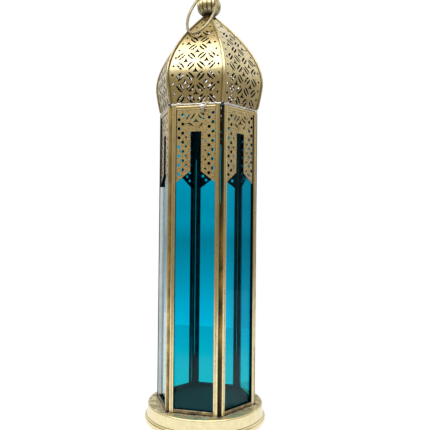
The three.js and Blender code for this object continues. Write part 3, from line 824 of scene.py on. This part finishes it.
# The door's fittings: two hidden pivot pins, and a tinned turn button on a rivet at the top
# rail. The button is cast thick and soft-edged, and two smears of solder hold the rivet.
button_place = Vector((6.5 * MM, -45.333 * MM, 304.0 * MM))
button_head = 2.5 * MM
button_tip = 1.3 * MM
button_length = 4.2 * MM
button_thickness = 0.8 * MM
button_edge = 0.3 * MM
button_steps = 12
rivet_radius = 1.6 * MM
rivet_height = 0.7 * MM
rivet_shank_radius = 0.8 * MM
rivet_shank_length = 2.4 * MM
smear_depth = 0.5 * MM
smear_lift = 0.5 * MM
# Smears: place across and half sizes
smears = ((-2.6 * MM, (2.2 * MM, smear_depth, 0.9 * MM)), (2.4 * MM, (2.0 * MM, smear_depth, 1.1 * MM)))

pin_steel = metal("pin_steel", (0.5, 0.48, 0.45), (0.2, 0.15, 0.1), cloud=0.3, speck=0.4, shine=0.3, dull=0.5)
refinish(pin_steel, "door_pin_lower", "door_pin_upper")


def button_outline(inset):
    """The drop's outline, wide round the rivet and narrow below, less an inset."""
    spread = acos((button_head - button_tip) / button_length)
    points = []
    for middle, radius, start, end in (
        (0, button_head - inset, -pi / 2 + spread, 1.5 * pi - spread),
        (-button_length, button_tip - inset, 1.5 * pi - spread, 1.5 * pi + spread),
    ):
        for step in range(button_steps + 1):
            turn = start + (end - start) * step / button_steps
            points.append((radius * cos(turn), middle + radius * sin(turn)))
    return points


def button_mesh():
    """The button built up in layers of outlines, its edges rounded over."""
    edge = [(button_edge, 0.0), (0.3 * button_edge, 0.3 * button_edge), (0, button_edge)]
    layers = edge + [(inset, button_thickness - depth) for inset, depth in edge[::-1]]
    shape = bmesh.new()
    solid(shape, *[
        [shape.verts.new(button_place + Vector((x, -depth, z))) for x, z in button_outline(inset)]
        for inset, depth in layers
    ])
    return to_mesh("button_plate", shape, 60)


tinned = metal(
    "tinned", (0.8, 0.79, 0.75), (0.3, 0.27, 0.22), cloud=0.5, speck=0.35, shine=0.2, dull=0.5, relief=0.5,
    cloud_size=0.004, speck_size=0.0014, grain_size=0.0012,
)
fit("button_plate", button_mesh(), tinned, "tinned_solder", "turn_button", body="button")

rivet_profile = [(r, z * rivet_height / rivet_radius) for r, z in arc(0, 0, rivet_radius, 90, 0, 6)]
rivet_profile += [(rivet_shank_radius, z) for z in (0, -rivet_shank_length)] + [(0, -rivet_shank_length)]
rivet_mesh = turned("rivet", rivet_profile, sides=32)
rivet_place = button_place - Vector((0, button_thickness + solder_gap, 0))
rivet_mesh.transform(Matrix.Translation(rivet_place) @ Matrix.Rotation(pi / 2, 4, "X"))
rivet = bmesh.new()
rivet.from_mesh(rivet_mesh)
smear_place = rivet_place + Vector((0, -1.2 * smear_depth, smear_lift))
for across, size in smears:
    for vert in bmesh.ops.create_icosphere(rivet, subdivisions=3, radius=1.0)["verts"]:
        x, y, z = vert.co
        sag = 0.25 * MM * sin(4 * x)
        vert.co = smear_place + Vector((across + x * size[0], y * size[1], z * size[2] + sag))
fit("rivet", to_mesh("rivet", rivet, 60), tinned, "tinned_solder", "turn_button_rivet", body="door")

# The collar: a six-sided strip over the frames, flooded with tin solder along its face.
# The solder stands in a lumpy bright bead.
collar_foot = 306.0 * MM
collar_height = 2.4 * MM
collar_flat = 43.735 * MM
collar_width = 4.7 * MM
bead_height = 1.1 * MM
bead_out = 0.05 * MM


def line_of(tree, given):
    """The starting line as a curve."""
    return got(tree, "GeometryNodeMeshToCurve", [given["Geometry"]])


def bead_tree():
    """A bead of solder along a line, swelling and thinning at random."""
    tree, given = new_tree("solder_bead", radius=0.75 * MM, lump_size=0.006, lump_share=0.55)
    fine = got(tree, "GeometryNodeResampleCurve", {"Curve": line_of(tree, given), "Count": 600})
    lumps = put(tree, "ShaderNodeTexNoise", {
        "Scale": sums("DIVIDE", 1.0, given["Lump Size"]), "Detail": 3.0, "W": 4.0,
    }, noise_dimensions="4D").outputs["Fac"]
    strength = times(given["Lump Share"], 4.0)
    swell = sums("MULTIPLY_ADD", sums("SUBTRACT", lumps, 0.5), strength, 1.0)
    swell = sums("MAXIMUM", swell, 0.35)
    sized = got(tree, "GeometryNodeSetCurveRadius", {"Curve": fine, "Radius": swell})
    section = got(tree, "GeometryNodeCurvePrimitiveCircle", {"Resolution": 10, "Radius": given["Radius"]})
    bead = got(tree, "GeometryNodeCurveToMesh", {"Curve": sized, "Profile Curve": section, "Scale": swell})
    return close_tree(tree, bead, given)


def hexagon(flat, height):
    """The corners of a hexagon at this height, its flat sides this far from the axis."""
    out = flat / cos(side_angle / 2)
    return [around(out, side_angle * (i + 0.5), height) for i in range(6)]


def wire_line(name, points, closed=False):
    """A line of points as a starting mesh."""
    edges = [(i, i + 1) for i in range(len(points) - 1)] + ([(len(points) - 1, 0)] if closed else [])
    line = bpy.data.meshes.new(name)
    line.from_pydata([tuple(p) for p in points], edges, [])
    return line


collar_top, collar_back = collar_foot + collar_height, collar_flat - collar_width
strip = bmesh.new()
strip_rings = [
    [strip.verts.new(p) for p in hexagon(flat, height)]
    for flat, height in (
        (collar_back, collar_foot), (collar_flat, collar_foot),
        (collar_flat, collar_top), (collar_back, collar_top),
    )
]
skin(strip, *strip_rings, strip_rings[0])
collar = bmesh.new()
collar.from_mesh(to_mesh("collar_strip", strip))
bead_line = wire_line("bead_line", hexagon(collar_flat + bead_out, collar_foot + bead_height), True)
collar.from_mesh(grown("solder_bead", bead_line, bead_tree(), tinned, angle=80))
fit("collar_strip", to_mesh("collar_strip", collar, 60), tinned, "tinned_solder", "collar")

# The lumps: drops of solder that ran out over the collar's front and set rough, thickest
# over the door's right half.
drop_out = 0.5 * MM
# Share of the way along the door's side, height and half sizes
collar_drops = (
    (0.16, 307.6, (1.5, 0.9, 1.1)), (0.24, 307.2, (1.0, 0.7, 0.8)), (0.45, 307.3, (1.2, 0.7, 0.7)),
    (0.64, 307.8, (1.7, 1.0, 1.2)), (0.72, 307.9, (1.5, 1.0, 1.1)), (0.88, 307.2, (1.3, 0.8, 0.8)),
)


def lump(shape, place, size):
    """An ellipsoid of these half sizes with an uneven skin."""
    for vert in bmesh.ops.create_icosphere(shape, subdivisions=3, radius=1.0)["verts"]:
        x, y, z = vert.co
        swell = 1 + 0.1 * sin(5.1 * x + 40 * place.x / MM) + 0.08 * sin(6.3 * z + 2.7 * y + place.z / MM)
        vert.co = place + Vector((x * size[0], y * size[1], z * size[2])) * swell


collar_side = 2 * collar_flat * tan(side_angle / 2)
lumps = bmesh.new()
for share, height, size in collar_drops:
    place = Vector(((share - 0.5) * collar_side, -collar_flat - drop_out, height * MM))
    lump(lumps, place, [MM * half for half in size])
fit("collar_lumps", to_mesh("collar_lumps", lumps, 80), tinned, "tinned_solder")

# Painted shadow: a black blob at each of the collar's two front corners, where the grooves
# beside the door end.
shadow_blob_out = 51.2 * MM
shadow_blob_height = 307.1 * MM
shadow_blob_size = (1.6 * MM, 1.3 * MM, 0.95 * MM)
shadow_blobs = bmesh.new()
for turn in (-side_angle / 2, side_angle / 2):
    lump(shadow_blobs, around(shadow_blob_out, turn, shadow_blob_height), shadow_blob_size)
fit("collar_groove_shadows", to_mesh("collar_groove_shadows", shadow_blobs, 80), shade_black, "tinned_solder")

# The crumbs: small flat splashes of solder and flux left on the drum along the foot of the
# six frames, as they fell when the frames were soldered down.
crumb_out = 0.9 * MM
crumb_smallest = (0.25, 0.25, 0.0)
crumb_largest = (1.3, 1.1, 0.0)


def crumb_tree():
    """Flat crumbs of random sizes, strewn along a line."""
    tree, given = new_tree(
        "solder_crumbs", crumb_count=420, crumb_size=0.55 * MM, crumb_height=0.22 * MM,
        spread=1.1 * MM, seed=7,
    )

    def random(seed, low, high):
        inputs = {"Min": low, "Max": high, "Seed": seed}
        return put(tree, "FunctionNodeRandomValue", inputs, data_type="FLOAT_VECTOR").outputs["Value"]

    points = got(tree, "GeometryNodeResampleCurve", {
        "Curve": line_of(tree, given), "Count": given["Crumb Count"],
    })
    scatter = random(given["Seed"], (-1, -1, 0), (1, 1, 0))
    moved = got(tree, "ShaderNodeVectorMath", {0: scatter, "Scale": given["Spread"]}, operation="SCALE")
    loose = got(tree, "GeometryNodeSetPosition", {"Geometry": points, "Offset": moved})
    sizes = random(sums("ADD", given["Seed"], 1.0), crumb_smallest, crumb_largest)
    wide, deep = [times(part, given["Crumb Size"]) for part in split(sizes)[:2]]
    crumb = got(tree, "GeometryNodeMeshIcoSphere", {"Radius": 1.0, "Subdivisions": 2})
    strewn = stamped(loose, crumb, Scale=vector(wide, deep, given["Crumb Height"]))
    return close_tree(tree, strewn, given)


crumb_line = wire_line("crumb_line", hexagon(apothem + crumb_out, base_height), True)
crumbs = grown("solder_crumbs", crumb_line, crumb_tree(), tinned, angle=80)
fit("solder_crumbs", crumbs, tinned, "tinned_solder")

# The gores: six brass sheets bent to the dome's curve and pierced with a net of paired
# leaf-shaped slits, a three-pointed star in every mesh, and dots down both margins.
eave_radius = 51.5 * MM
belly_radius = 56 * MM
belly_height = 25 * MM
dome_foot = 308.7 * MM
dome_height = 93.8 * MM
crown_radius = 8.8 * MM
eave_handle = 6 * MM
belly_handle = 27.4 * MM
crown_handle = 20 * MM
crown_lean = radians(48)
gore_inset = 1 * MM
gore_thickness = 0.8 * MM
rear_slit_width = 1.6 * MM
margin_dots = 11
# Nothing is cut below this share of the first row's height
lowest_cut = 0.36
seam_angles = (120, 180, 240)


def bezier(controls, share):
    """A point of a Bezier curve of any order."""
    while len(controls) > 1:
        controls = [a.lerp(b, share) for a, b in zip(controls, controls[1:])]
    return controls[0]


def dome_curve(inset, scale, steps):
    """The dome's profile from eave to crown, as points in the front middle plane."""
    def at(r, h):
        return Vector((0, (inset - r) * scale, dome_foot + h))

    belly = at(belly_radius, belly_height)
    lower = [at(eave_radius, 0), at(belly_radius, belly_height - eave_handle), belly]
    out, down = crown_handle * sin(crown_lean), crown_handle * cos(crown_lean)
    crown_start = at(crown_radius + out, dome_height - down)
    upper = [belly, at(belly_radius, belly_height + belly_handle), crown_start, at(crown_radius, dome_height)]
    points = [bezier(lower, i / steps) for i in range(steps)]
    return points + [bezier(upper, i / (3 * steps)) for i in range(3 * steps + 1)]


def gore_tree():
    """A sixth of the dome: a flat sheet trimmed to the seams, pierced, then bent to the curve."""
    tree, given = new_tree(
        "pierced_gore", thickness=gore_thickness, seam_half=0.5 * MM, net_half_width=10 * MM,
        net_half_height=10.35 * MM, first_row=8.7 * MM, slit_length=8.4 * MM, slit_width=1.9 * MM,
        slit_bow=0.55 * MM, slit_inner=1.2 * MM, slit_bluntness=0.5, slit_margin=7.2 * MM, star_tip=3.5 * MM,
        star_notch=1.2 * MM, star_margin=7.6 * MM, top_margin=5 * MM, dot_radius=1.2 * MM, dot_pitch=8.7 * MM,
        dot_inset=4.6 * MM, bend_steps=64, net_columns=8, net_rows=12,
    )
    profile = line_of(tree, given)
    length = got(tree, "GeometryNodeCurveLength", [profile])
    half_width, half_height = given["Net Half Width"], given["Net Half Height"]
    first_row = given["First Row"]

    def on_profile(along):
        found = put(tree, "GeometryNodeSampleCurve", {"Curves": profile, "Length": along}, mode="LENGTH")
        return found.outputs["Position"], found.outputs["Tangent"]

    def half_side(along):
        out = times(split(on_profile(along)[0])[1], -tan(side_angle / 2))
        return sums("SUBTRACT", out, sums("DIVIDE", given["Seam Half"], cos(side_angle / 2)))

    block = got(tree, "GeometryNodeMeshCube", {
        "Size": (2, 1, 1), "Vertices X": 2, "Vertices Y": given["Bend Steps"], "Vertices Z": 2,
    })
    x, y, z = position(tree)
    along = times(sums("ADD", y, 0.5), length)
    up = times(sums("SUBTRACT", z, 0.5), given["Thickness"])
    flat = reshaped(block, times(x, half_side(along)), along, up)
    depth = times(given["Thickness"], 4.0)

    def kept(points, margin, *choice):
        """The points that keep their distance from the seams and from the crown."""
        room = sums("SUBTRACT", half_side(y), margin)
        inside = sums("LESS_THAN", sums("ABSOLUTE", x), room)
        below = sums("LESS_THAN", y, sums("SUBTRACT", length, given["Top Margin"]))
        above = sums("GREATER_THAN", y, times(first_row, lowest_cut))
        keep = times(inside, below, above, *choice)
        return got(tree, "GeometryNodeDeleteGeometry", {
            "Geometry": points, "Selection": sums("LESS_THAN", keep, 0.5),
        }, domain="POINT")

    columns_less, rows_less = [sums("SUBTRACT", given[name], 1.0) for name in ("Net Columns", "Net Rows")]
    net = got(tree, "GeometryNodeMeshGrid", {
        "Size X": times(half_width, columns_less), "Size Y": times(half_height, rows_less),
        "Vertices X": given["Net Columns"], "Vertices Y": given["Net Rows"],
    })

    def placed(columns_shift, rows_shift):
        """The net's points, shifted by parts of a column and of a row."""
        rows = sums("ADD", times(rows_less, 0.5), rows_shift)
        height = sums("MULTIPLY_ADD", rows, half_height, first_row)
        return laid(net, vector(times(half_width, columns_shift), height))

    def parity(columns_shift, rows_shift):
        """0 or 1 by turns, like the fields of a chessboard."""
        column = sums("SUBTRACT", sums("DIVIDE", x, half_width), columns_shift)
        row = sums("DIVIDE", sums("SUBTRACT", y, first_row), half_height)
        total = sums("ROUND", sums("ADD", column, sums("SUBTRACT", row, rows_shift)))
        return sums("ABSOLUTE", sums("FLOORED_MODULO", total, 2.0))

    # Slits sit on the middles of the net's lines, which slope by turns to either side
    leaf = leaf_cutter(
        tree, given["Slit Length"], given["Slit Width"], given["Slit Bow"], given["Slit Bluntness"], depth
    )
    slit = laid(leaf, vector(0.0, given["Slit Inner"]))
    pair = put(tree, "GeometryNodeJoinGeometry")
    for half in (slit, laid(slit, turn=pi)):
        tree.links.new(half, pair.inputs[0])
    slope = sums("ARCTAN2", half_height, half_width)
    sign = sums("MULTIPLY_ADD", parity(0.5, -0.5), -2.0, 1.0)
    lean = vector(0.0, 0.0, times(slope, sign))
    cutters = [stamped(kept(placed(0.0, -0.5), given["Slit Margin"]), pair.outputs[0], Rotation=lean)]

    # Stars sit in the meshes of the net
    every_other = sums("SUBTRACT", 1.0, parity(0.0, 0.0))
    star = star_cutter(tree, given["Star Tip"], given["Star Notch"], depth)
    cutters.append(stamped(kept(placed(0.5, 0.0), given["Star Margin"], every_other), star))

    # Dots follow both margins
    edge = sums("SUBTRACT", half_side(y), given["Dot Inset"])
    for side in (-1.0, 1.0):
        column = got(tree, "GeometryNodeMeshLine", {
            "Count": margin_dots, "Start Location": vector(0.0, first_row),
            "Offset": vector(0.0, given["Dot Pitch"]),
        })
        column = kept(reshaped(column, times(edge, side), y), 0.0)
        cutters.append(stamped(column, drill(tree, given["Dot Radius"], depth)))
    pierced, inner = cut(tree, flat, cutters)

    # The pierced sheet bends to the dome's curve
    place, tangent = on_profile(y)
    tangent_y, tangent_z = split(tangent)[1:]
    outwards = vector(0.0, times(tangent_z, -1.0), tangent_y)
    bent = got(tree, "ShaderNodeVectorMath", {0: outwards, "Scale": z}, operation="SCALE")
    for part in (place, vector(x)):
        bent = got(tree, "ShaderNodeVectorMath", [part, bent], operation="ADD")
    shaped = got(tree, "GeometryNodeSetPosition", {"Geometry": pierced, "Position": bent})
    return close_tree(tree, shaped, given, inner)


def left_rib_shadow(tree):
    """A painted shadow line on the right of the front left rib above the belly."""
    x, y, z = spot(tree)
    off = reach(x, y, 60)
    inner = fade(off, 0.5 * MM, 0.9 * MM, 0.0, 0.85)
    outer = fade(off, 1.4 * MM, 2.1 * MM, 1.0, 0.0)
    above = fade(z, 325 * MM, 345 * MM, 0.3, 1.0)
    return times(inner, outer, above, sums("LESS_THAN", y, 0.0))


def seam_distance(tree):
    """How far a place lies from the nearest seam of the gores."""
    x, y, z = spot(tree)
    return pick_reach("MINIMUM", x, y, seam_angles)


def seam_shade(tree, clouds):
    """Painted shade in the corner between a gore and its rib."""
    near = fade(seam_distance(tree), 1.3 * MM, 2.9 * MM, 1.0, 0.0)
    near = times(near, sums("MULTIPLY_ADD", clouds, 0.6, 0.25))
    return sums("MAXIMUM", near, left_rib_shadow(tree))


# The gores' mask is painted shade along the seams.
dome_brass = metal(
    "dome_brass", (0.8, 0.7, 0.42), (0.3, 0.21, 0.09), cloud=0.25, speck=0.75, shine=0.2, dull=0.42,
    grime_and_shade=seam_shade, cloud_size=0.012, speck_size=0.0014, speck_share=0.55,
)
gore_line = wire_line("gore_line", dome_curve(gore_inset, cos(side_angle / 2), 24))
pierced_gore = gore_tree()
# The gores' inner faces and the walls of their holes are painted shade.
front_gore = grown("gore_sheet_front", gore_line, pierced_gore, dome_brass, angle=28, lining=shade_black)
rear_gore = grown(
    "gore_sheet_rear", gore_line, pierced_gore, dome_brass, angle=28, lining=shade_black, slit_width=rear_slit_width
)
for turns, side in enumerate(side_names):
    gore = rear_gore if "rear" in side else front_gore
    fit_turned(f"gore_sheet_{side}", gore, turns, dome_brass, "brass_dome", f"dome_gore_{side}")

# The ribs: six half-hard brass wires bent over the seams of the gores and soldered down.
# Both their edges are darkened with painted shade.
rib_radius = 1.3 * MM
rib_foot_gap = 0.4 * MM
corner_names = ("front_right", "right", "rear_right", "rear_left", "left", "front_left")


def wire_tree():
    """A round wire along a line."""
    tree, given = new_tree("round_wire", wire_radius=1 * MM, wire_sides=16)
    section = got(tree, "GeometryNodeCurvePrimitiveCircle", {
        "Resolution": given["Wire Sides"], "Radius": given["Wire Radius"],
    })
    wire = got(tree, "GeometryNodeCurveToMesh", {
        "Curve": line_of(tree, given), "Profile Curve": section, "Fill Caps": True,
    })
    return close_tree(tree, wire, given)


def rib_edge_shade(tree, clouds):
    """Painted shade, black where the wire meets the gores."""
    edge = fade(seam_distance(tree), 1.0 * MM, 1.25 * MM, 0.0, 0.6)
    return sums("MAXIMUM", edge, left_rib_shadow(tree))


rib_brass = metal(
    "rib_brass", (0.86, 0.74, 0.43), (0.26, 0.17, 0.07), cloud=0.45, speck=0.6, shine=0.22, dull=0.45,
    grime_and_shade=rib_edge_shade, cloud_size=0.01, speck_size=0.0016, speck_share=0.45,
)
wires = wire_tree()
rib_points = dome_curve(rib_radius, 1.0, 16)
rib_points[0].z += rib_foot_gap
rib_mesh = grown("rib", wire_line("rib_line", rib_points), wires, rib_brass, wire_radius=rib_radius)
for index, corner in enumerate(corner_names):
    fit_turned(f"rib_wire_{corner}", rib_mesh, index + 0.5, rib_brass, "brass_dome", f"dome_rib_{corner}")

# The finial: a small cap over the crown, a cast melon-shaped knob with 14 flutes, and an
# eye bolt through both, held by a nut inside the dome.
cap_foot = 402.8 * MM
cap_top = 404.4 * MM
cap_radius = 8.2 * MM
cap_edge = 0.3 * MM
cap_taper = 1.0 * MM
cap_bevel = 1.4 * MM
knob_radius = 12.2 * MM
knob_foot = 404.7 * MM
knob_top = 426.1 * MM
knob_flutes = 14
flute_depth = 1.5 * MM
flute_steps = 12
flute_sharpness = 1.4
knob_rings = 28
eye_turn = radians(-10)
eye_radius = 3.6 * MM
eye_wire = 1.3 * MM
eye_middle = 431.3 * MM
eye_steps = 48
bolt_radius = 1.6 * MM
bolt_foot = 398.9 * MM
cap_profile = [
    (0, cap_foot), (cap_radius, cap_foot), (cap_radius - cap_taper, cap_top - cap_edge),
    (cap_radius - cap_bevel, cap_top), (0, cap_top),
]
fit("crown_cap", turned("crown_cap", cap_profile, sides=64), dome_brass, "brass_dome", "dome_cap")


def knob_mesh():
    """A ball with pointed valleys from pole to pole."""
    middle, half = (knob_foot + knob_top) / 2, (knob_top - knob_foot) / 2
    sides = knob_flutes * flute_steps
    shape = bmesh.new()
    rows = []
    for ring in range(knob_rings + 1):
        turn = pi * ring / knob_rings
        row = []
        for side in range(sides):
            angle = 2 * pi * side / sides
            valley = (1 - abs(sin(knob_flutes * angle / 2))) ** flute_sharpness
            out = (knob_radius - flute_depth * valley) * sin(turn)
            place = (out * cos(angle + eye_turn), out * sin(angle + eye_turn), middle - half * cos(turn))
            row.append(shape.verts.new(place))
        rows.append(row)
    skin(shape, *rows)
    bmesh.ops.remove_doubles(shape, verts=shape.verts, dist=weld_reach)
    bmesh.ops.dissolve_degenerate(shape, edges=shape.edges, dist=flat_reach)
    return to_mesh("knob", shape, 60)


def knob_dark_and_shade(tree, clouds):
    """Black in the flutes, strongest low down, and painted shade all over the knob's underside."""
    x, y, z = spot(tree)
    turn = sums("SUBTRACT", sums("ARCTAN2", y, x), eye_turn)
    lobe = sums("ABSOLUTE", sums("SINE", times(turn, knob_flutes / 2)))
    low = fade(z, knob_foot + 3 * MM, knob_foot + 14 * MM, 1.0, 0.35)
    under = fade(z, knob_foot + 1.5 * MM, knob_foot + 6.5 * MM, 0.95, 0.0)
    return sums("MAXIMUM", times(fade(lobe, 0.12, 0.62, 1.0, 0.0), low), under)


knob_brass = metal(
    "knob_brass", (0.66, 0.59, 0.36), (0.24, 0.19, 0.1), cloud=0.35, speck=0.5, shine=0.24, dull=0.48,
    grime_and_shade=knob_dark_and_shade, cloud_size=0.008, speck_share=0.5,
)
fit("knob", knob_mesh(), knob_brass, "brass_aged", "finial_knob")

aged_brass = metal(
    "aged_brass", (0.56, 0.5, 0.33), (0.2, 0.16, 0.09), cloud=0.4, speck=0.5, shine=0.3, dull=0.5,
    cloud_size=0.008, speck_share=0.5,
)
eye_foot = eye_middle - eye_radius
eye_points = [
    Vector((0, eye_radius * sin(t), eye_middle - eye_radius * cos(t)))
    for t in [2 * pi * step / eye_steps for step in range(eye_steps)]
]
bolt = bmesh.new()
bolt.from_mesh(grown("eye", wire_line("eye_line", eye_points, True), wires, aged_brass, wire_radius=eye_wire))
shank_profile = [(0, bolt_foot), (bolt_radius, bolt_foot), (bolt_radius, eye_foot), (0, eye_foot)]
bolt.from_mesh(turned("shank", shank_profile, sides=32))
bolt_mesh = to_mesh("eye_bolt", bolt)
bolt_mesh.transform(Matrix.Rotation(eye_turn, 4, "Z"))
fit("eye_bolt", bolt_mesh, aged_brass, "brass_aged", "finial_eye_bolt")
refinish(aged_brass, "finial_nut")

# The hanging ring: a long flat loop of brass wire through the eye, wide enough for the knob.
# It leans on the front of the dome.
ring_width = 28 * MM
ring_length = 62 * MM
ring_wire = 1.35 * MM
ring_steps = 96
ring_lean = 0.56
ring_pivot = 430.65 * MM
ring_points = [
    Vector((ring_width / 2 * sin(t), 0, -ring_length / 2 * (1 - cos(t))))
    for t in [2 * pi * step / ring_steps for step in range(ring_steps)]
]
ring_brass = metal(
    "ring_brass", (0.47, 0.42, 0.28), (0.16, 0.12, 0.065), cloud=0.5, speck=0.5, shine=0.34, dull=0.55,
    cloud_size=0.007, speck_share=0.5,
)
ring_mesh = grown("ring", wire_line("ring_line", ring_points, True), wires, ring_brass, wire_radius=ring_wire)
ring_mesh.transform(
    Matrix.Rotation(eye_turn, 4, "Z")
    @ Matrix.Translation((0, 0, ring_pivot))
    @ Matrix.Rotation(-ring_lean, 4, "X")
)
fit("ring_loop", ring_mesh, ring_brass, "brass_aged", "hanging_ring", body="ring")
